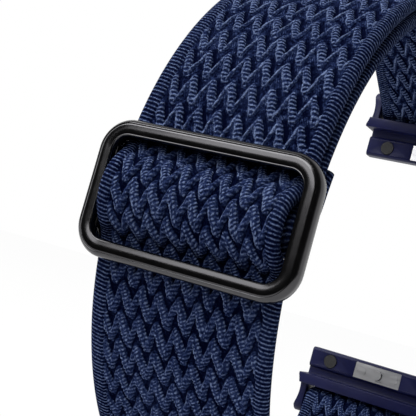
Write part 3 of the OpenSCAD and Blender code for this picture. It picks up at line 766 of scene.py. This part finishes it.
def stitchTree():
    tree, given, value = openTree("stitches", [
        ("Count", "Int", 8), ("Stitch length", "Float", 1.5), ("Thread radius", "Float", 0.2),
        ("Outward", "Vector", None), ("Lie", "Float", 0.1), ("Sink", "Float", 0.4), ("Seed", "Int", 1)])
    rows = addNode(tree, "GeometryNodeMeshToCurve", {"Mesh": given["Geometry"]})
    points = addNode(tree, "GeometryNodeResampleCurve", {"Curve": rows.outputs["Curve"], "Count": given["Count"]})
    _, outY, outZ = partsOf(tree, given["Outward"])

    def control(along, up):
        return addNode(tree, "ShaderNodeCombineXYZ", {"X": value("Stitch length") * (along * mm),
                                                      "Y": up * outY * mm, "Z": up * outZ * mm}).outputs[0]

    sunk, raised = -value("Sink"), value("Lie") + sewing["bow"]
    bow = addNode(tree, "GeometryNodeCurvePrimitiveBezierSegment", {
        "Resolution": sewing["steps"], "Start": control(-0.5, sunk), "Start Handle": control(-0.42, raised),
        "End Handle": control(0.42, raised), "End": control(0.5, sunk)})
    ring = addNode(tree, "GeometryNodeCurvePrimitiveCircle",
                   {"Resolution": sewing["sides"], "Radius": value("Thread radius") * mm})
    stitch = addNode(tree, "GeometryNodeCurveToMesh", {"Fill Caps": True, "Curve": bow.outputs["Curve"],
                                                       "Profile Curve": ring.outputs["Curve"]})
    smooth = addNode(tree, "GeometryNodeSetShadeSmooth", {0: stitch.outputs["Mesh"]})
    pull = addNode(tree, "FunctionNodeRandomValue",
                   {0: sewing["smallest"], 1: sewing["largest"], "Seed": given["Seed"]}, data_type="FLOAT_VECTOR")
    place = addNode(tree, "GeometryNodeInstanceOnPoints", {
        "Points": points.outputs["Curve"], "Instance": smooth.outputs[0], "Scale": pull.outputs["Value"]})
    return closeTree(tree, given, place.outputs[0])


def rowAt(points, away, deep):   # a place that far along a line, on the webbing's outer face
    gone = 0.0
    for a, c in zip(points, points[1:]):
        long = math.dist(a, c)
        if gone + long >= away:
            t = (away - gone) / long
            dy, dz = (c[0] - a[0]) / long, (c[1] - a[1]) / long
            return (a[0] + (c[0] - a[0]) * t - dz * deep, a[1] + (c[1] - a[1]) * t + dy * deep), (-dz, dy)
        gone += long


sewn = stitchTree()
seams = {"lowerStitches": {"line": lines["lower"], "rows": (1.5, 4.5), "body": "webbing", "node": "lower_stitches"},
         "barStitches": {"line": lines["loop"][::-1], "rows": (0.8, 2.4), "body": "buckle", "node": "bar_stitches"}}
for name, seam in seams.items():
    reach = (sewing["count"] - 1) / 2 * sewing["pitch"]
    rows = [rowAt(seam["line"], away, strap["thick"] / 2) for away in seam["rows"]]
    ends = [(x * mm, y * mm, z * mm) for (y, z), out in rows for x in (-reach, reach)]
    out = rows[0][1]
    piece = grown(newPiece(name, ends, [(0, 1), (2, 3)]), sewn, {
        "Count": sewing["count"], "Stitch length": sewing["length"], "Thread radius": sewing["thread"],
        "Outward": (0.0, out[0], out[1]), "Lie": sewing["lie"], "Sink": sewing["sink"],
        "Seed": sewing["seed"], "Material": finishes["thread"]})
    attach(piece, seam["body"])
    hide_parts(seam["node"])
    print(name, len(piece.data.polygons), "faces")


# the connectors, with the sharp edges of their moulding eased

moulding = {"ease": 0.09, "segments": 2, "flat": 0.5, "sharp": 28, "smooth": 35}


def easeEdges(mesh):
    bmesh.ops.remove_doubles(mesh, verts=mesh.verts, dist=0.001 * mm)
    bmesh.ops.dissolve_limit(mesh, angle_limit=math.radians(moulding["flat"]), verts=mesh.verts, edges=mesh.edges)
    sharp = math.radians(moulding["sharp"])
    edges = [e for e in mesh.edges if len(e.link_faces) == 2 and e.calc_face_angle(0) > sharp]
    bmesh.ops.bevel(mesh, geom=edges, offset=moulding["ease"] * mm, segments=moulding["segments"], profile=0.5,
                    affect="EDGES")


for end in ("upper", "lower"):
    piece = reworked(newPiece(end + "Connector", []), easeEdges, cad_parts[end + "_connector"])
    softened(piece, "connector", moulding["smooth"])
    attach(piece, end + "_connector")
    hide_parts(end + "_connector")
    print(piece.name, len(piece.data.polygons), "faces")


# the springs behind the latch buttons

coil = {"turns": 3.5, "wire": 0.11, "steps": 26, "sides": 10, "travel": 0.5}


def springTree():
    tree, given, value = openTree("spring", [
        ("Turns", "Float", 3.0), ("Coil radius", "Float", 1.0), ("Wire radius", "Float", 0.1),
        ("Length", "Float", 1.0), ("Place", "Vector", None), ("Steps a turn", "Int", 24)])
    radius = value("Coil radius") * mm
    path = addNode(tree, "GeometryNodeCurveSpiral", {
        "Resolution": given["Steps a turn"], "Rotations": given["Turns"], "Start Radius": radius, "End Radius": radius,
        "Height": (value("Length") - value("Wire radius") * 2.0) * mm})
    ring = addNode(tree, "GeometryNodeCurvePrimitiveCircle",
                   {"Resolution": coil["sides"], "Radius": value("Wire radius") * mm})
    tube = addNode(tree, "GeometryNodeCurveToMesh", {"Fill Caps": True, "Curve": path.outputs[0],
                                                     "Profile Curve": ring.outputs["Curve"]})
    smooth = addNode(tree, "GeometryNodeSetShadeSmooth", {0: tube.outputs["Mesh"]})
    place = addNode(tree, "GeometryNodeTransform", {   # from the button's side into the bore
        "Geometry": smooth.outputs[0], "Rotation": (math.radians(-90), 0, 0), "Translation": given["Place"]})
    return closeTree(tree, given, place.outputs[0])


coils = springTree()
for end in ("upper", "lower"):
    low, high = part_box(end + "_spring")
    long = (high[1] - low[1]) / mm
    middle = ((low[0] + high[0]) / 2, (low[2] + high[2]) / 2)
    piece = grown(newPiece(end + "Spring", [(0, 0, 0)]), coils, {
        "Turns": coil["turns"], "Coil radius": (high[0] - low[0]) / 2 / mm - coil["wire"], "Wire radius": coil["wire"],
        "Length": long, "Place": (middle[0], low[1] + coil["wire"] * mm, middle[1]), "Steps a turn": coil["steps"],
        "Material": finishes["steel"]})
    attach(piece, end + "_connector")
    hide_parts(end + "_spring")
    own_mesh(piece)
    print(piece.name, round(long, 2), "mm long,", len(piece.data.polygons), "faces")


# finishes on the pieces that keep their shape

keeps = {"buckle": ("buckle_centre_bar",),
         "steel": ("upper_pin", "lower_pin", "upper_button", "lower_button",
                   "upper_retainer", "lower_retainer", "upper_screws", "lower_screws"),
         "rubber": ("upper_pads", "lower_pads")}
for finish, names in keeps.items():
    for name in names:
        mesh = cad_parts[name].data
        mesh.materials.clear()
        mesh.materials.append(finishes[finish])


# floor, backdrop and light

stage = {"level": -45.2, "front": -115, "far": 3000, "colour": (0.9, 0.9, 0.9), "roughness": 0.9, "glow": 0.97,
         "dim": 0.03, "bright": 0.9, "slant": 0.15, "from": 0.08, "to": 0.38}


def raysSeen(tree, *kinds):   # 1 for rays of these kinds
    light = addNode(tree, "ShaderNodeLightPath")
    seen = Term(tree, light.outputs["Is Camera Ray"])
    for kind in kinds:
        seen = most(seen, Term(tree, light.outputs[kind]))
    return seen


def stageMaterial():
    material, tree, shader = newMaterial("paleFloor", stage["colour"], stage["roughness"])
    glow = addNode(tree, "ShaderNodeEmission", {"Color": (1, 1, 1, 1)})
    seen = raysSeen(tree, "Is Glossy Ray", "Is Transmission Ray")
    mix = addNode(tree, "ShaderNodeMixShader", {0: seen * stage["glow"], 1: shader.outputs[0], 2: glow.outputs[0]})
    tree.links.new(mix.outputs[0], tree.nodes["Material Output"].inputs["Surface"])
    return material


corners = ((-stage["far"], stage["front"]), (stage["far"], stage["front"]),
           (stage["far"], stage["far"]), (-stage["far"], stage["far"]))
floor = newPiece("floor", [(x * mm, y * mm, stage["level"] * mm) for x, y in corners], faces=[(0, 1, 2, 3)])
floor.data.materials.append(stageMaterial())

world = bpy.data.worlds.new("studio")   # a lit backdrop and a dim room in front, white to the camera
scene.world = world
world.use_nodes = True
tree = world.node_tree
x, y, _ = partsOf(tree, addNode(tree, "ShaderNodeTexCoord").outputs["Generated"])
room = stage["dim"] + step(y + x * stage["slant"], stage["from"], stage["to"]) * (stage["bright"] - stage["dim"])
seen = raysSeen(tree, "Is Transmission Ray")
tree.nodes["Background"].inputs["Color"].default_value = (1, 1, 1, 1)
tree.links.new((room * (1.0 - seen) + seen).socket, tree.nodes["Background"].inputs["Strength"])

lamps = {"aim": (0, -0.075, 0), "away": 0.75, "boxes": {   # azimuth from the front towards +X, elevation
    "topSoftbox": {"from": (-35, 56), "size": (0.9, 0.5), "watts": 7.8},
    "frontSoftbox": {"from": (-12, 24), "size": (0.62, 0.42), "watts": 2.6},
    "leftStrip": {"from": (-80, 12), "size": (0.25, 0.8), "watts": 2.0}}}
for name, box in lamps["boxes"].items():
    azimuth, elevation = (math.radians(a) for a in box["from"])
    way = Vector((math.sin(azimuth) * math.cos(elevation), -math.cos(azimuth) * math.cos(elevation),
                  math.sin(elevation)))
    data = bpy.data.lights.new(name, "AREA")
    data.shape = "RECTANGLE"
    data.size, data.size_y = box["size"]
    data.energy = box["watts"]
    lamp = bpy.data.objects.new(name, data)
    lamp.location = Vector(lamps["aim"]) + way * lamps["away"]
    lamp.rotation_euler = (-way).to_track_quat("-Z", "Y").to_euler()
    scene.collection.objects.link(lamp)
print("stage and lamps set")

scene.view_settings.view_transform = "Standard"
